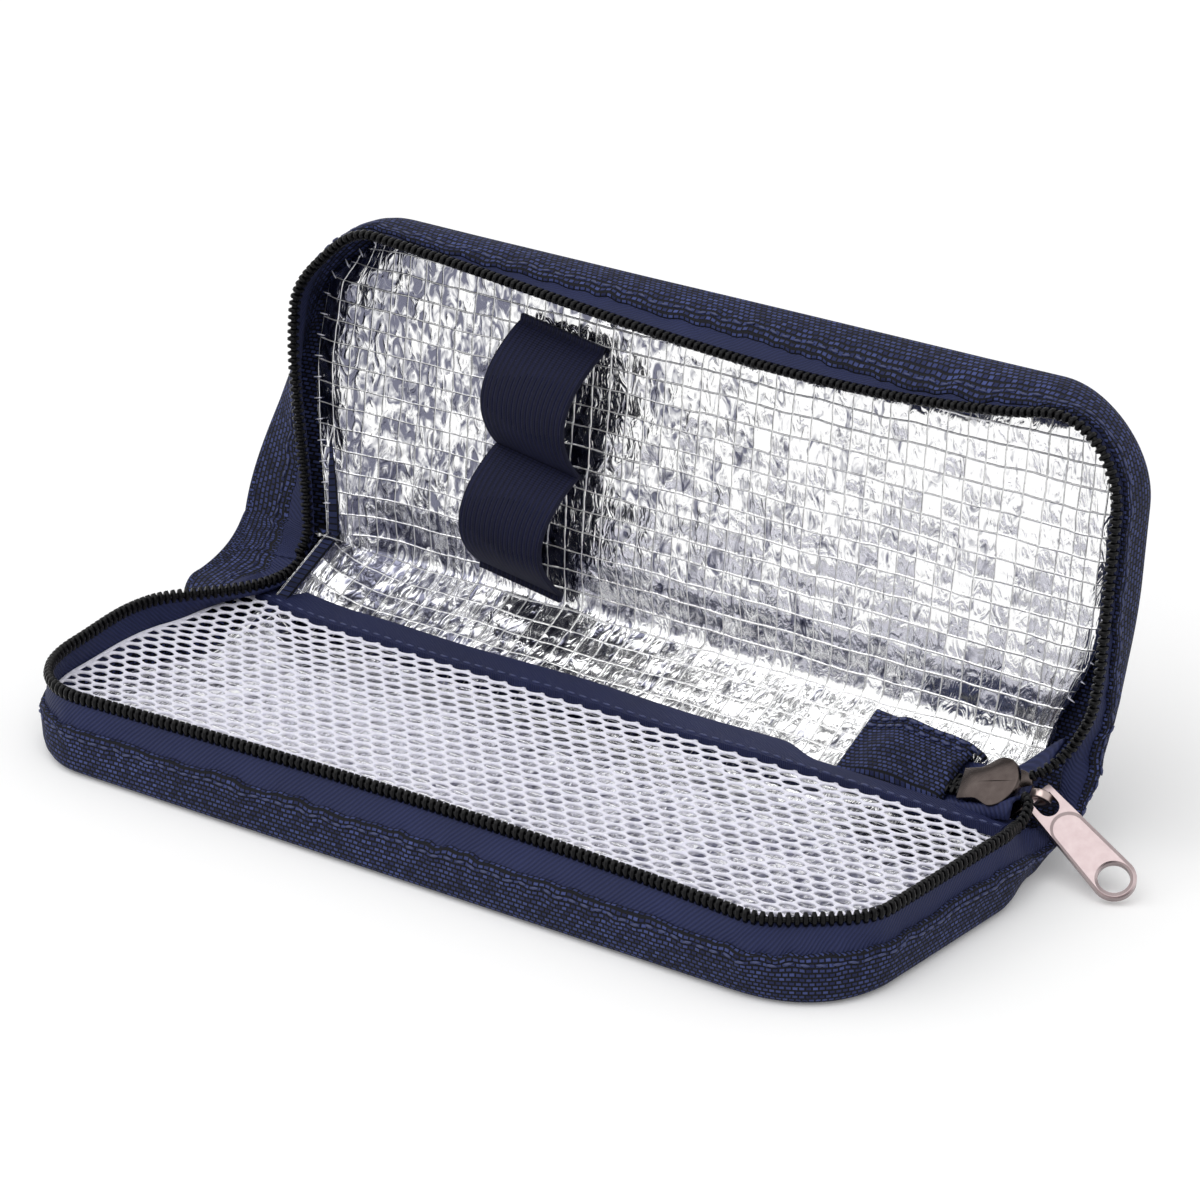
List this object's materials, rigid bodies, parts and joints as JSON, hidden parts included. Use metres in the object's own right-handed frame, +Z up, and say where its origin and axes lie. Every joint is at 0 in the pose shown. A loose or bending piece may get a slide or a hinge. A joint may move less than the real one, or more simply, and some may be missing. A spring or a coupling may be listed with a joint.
{
  "type": "soft zip case",
  "caption": "Open soft zip case with foil-lined padded halves, a mesh pocket below, an elastic band with loops above, and a zip slider with a metal pull tab.",
  "frame": {"origin": "middle of the lower half's underside, where it rests on the table", "axes": "+X along the case towards the zip pull, +Y from the front wall towards the spine and cover, +Z up"},
  "size_m": [0.2226, 0.1108, 0.0904],
  "materials": {
    "oxford_cloth": "coarse woven navy oxford cloth",
    "zip_tape": "fine twill navy zip tape",
    "nylon_coil": "black nylon coil",
    "foam": "closed-cell foam sheet",
    "foil": "embossed aluminised film",
    "net": "white knitted net",
    "binding_tape": "folded navy tape",
    "elastic_band": "ribbed navy elastic",
    "slider_metal": "dark nickel plating",
    "pull_metal": "satin nickel plating"
  },
  "bodies": {
    "base": {"lower_panel": "oxford_cloth", "lower_foam": "foam", "lower_foil": "foil", "lower_gusset": "oxford_cloth", "lower_zip_tape": "zip_tape", "lower_zip_coil": "nylon_coil", "mesh_pocket": "net", "pocket_binding": "binding_tape", "lower_fold_cloth": "oxford_cloth"},
    "spine": {"spine_panel": "oxford_cloth", "spine_foam": "foam", "spine_foil": "foil", "cover_fold_cloth": "oxford_cloth", "left_corner_gusset": "oxford_cloth", "left_corner_tape": "zip_tape", "left_corner_coil": "nylon_coil", "right_corner_gusset": "oxford_cloth", "right_corner_tape": "zip_tape", "right_corner_coil": "nylon_coil", "zip_end_patch": "oxford_cloth", "zip_closed_end": "nylon_coil", "zip_end_tape": "zip_tape"},
    "cover": {"cover_panel": "oxford_cloth", "cover_foam": "foam", "cover_foil": "foil", "cover_gusset": "oxford_cloth", "cover_zip_tape": "zip_tape", "cover_zip_coil": "nylon_coil", "elastic_pen_loops": "elastic_band"},
    "slider": {"slider_body": "slider_metal"},
    "pull": {"pull_tab": "pull_metal"}
  },
  "joints": [
    {"name": "spine_fold", "type": "hinge", "parent": "base", "child": "spine", "pos_m": [0, 0.0375, 0.0035], "axis": [1, 0, 0], "range_deg": [-28, 4], "deforming": ["lower_fold_cloth", "pocket_binding", "left_corner_gusset", "left_corner_tape", "left_corner_coil", "right_corner_gusset", "right_corner_tape", "right_corner_coil"]},
    {"name": "cover_fold", "type": "hinge", "parent": "spine", "child": "cover", "pos_m": [0, 0.06134, 0.01618], "axis": [1, 0, 0], "range_deg": [-55.5, 34.5], "deforming": ["cover_fold_cloth", "left_corner_gusset", "left_corner_tape", "left_corner_coil", "right_corner_gusset", "right_corner_tape", "right_corner_coil"]},
    {"name": "slider_travel", "type": "slide", "parent": "spine", "child": "slider", "axis": [0.9221, -0.0903, 0.3763], "range_m": [-0.0008, 0.003], "deforming": ["right_corner_coil", "right_corner_tape"]},
    {"name": "pull_swing", "type": "hinge", "parent": "slider", "child": "pull", "pos_m": [0.09547, 0.0435, 0.0134], "axis": [0.1977, 0.8655, 0.4602], "range_deg": [-70, 12]}
  ]
}
